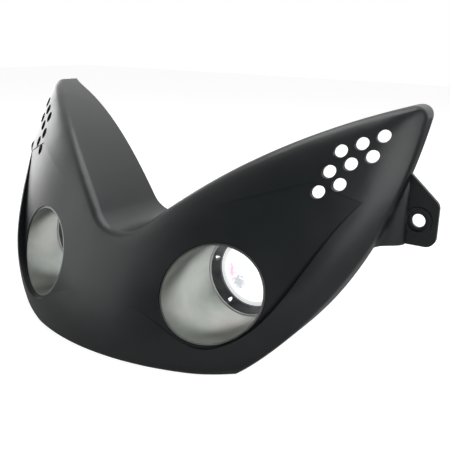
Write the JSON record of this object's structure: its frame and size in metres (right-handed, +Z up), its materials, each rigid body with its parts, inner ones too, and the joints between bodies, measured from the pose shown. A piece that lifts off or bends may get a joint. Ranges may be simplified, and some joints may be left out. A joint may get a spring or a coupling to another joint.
{
  "type": "twin headlight",
  "caption": "Moulded headlight mask with swept horns, side fixing ears, cooling holes and two deep-set round halogen lamps in bright tubes.",
  "frame": {"origin": "midway between the two fixing holes, on the rear face of the ears", "axes": "+X to the rider's left, -Y forwards in the direction of the light, +Z up"},
  "size_m": [0.3784, 0.1569, 0.173],
  "materials": {
    "mask": "moulded, satin near-black",
    "tube": "metallised silver grey",
    "ring": "die-cast, satin",
    "gasket": "matte",
    "bowl": "pressed glass with a mirror coat",
    "lens": "clear, polished",
    "capsule": "clear quartz",
    "pins": "plain",
    "holder": "unglazed ceramic look",
    "contacts": "plain",
    "clip": "spring wire",
    "screws": "zinc plated"
  },
  "bodies": {
    "root": {"mask_shell": "mask", "left_reflector_tube": "tube", "left_lamp_ring": "ring", "left_lamp_gasket": "gasket", "left_lamp_bowl": "bowl", "left_lamp_glass": "lens", "left_lamp_capsule": "capsule", "left_lamp_pins": "pins", "left_lamp_holder": "holder", "left_holder_contacts": "contacts", "left_retaining_clip": "clip", "left_tube_screws": "screws", "right_reflector_tube": "tube", "right_lamp_ring": "ring", "right_lamp_gasket": "gasket", "right_lamp_bowl": "bowl", "right_lamp_glass": "lens", "right_lamp_capsule": "capsule", "right_lamp_pins": "pins", "right_lamp_holder": "holder", "right_holder_contacts": "contacts", "right_retaining_clip": "clip", "right_tube_screws": "screws"}
  },
  "joints": []
}
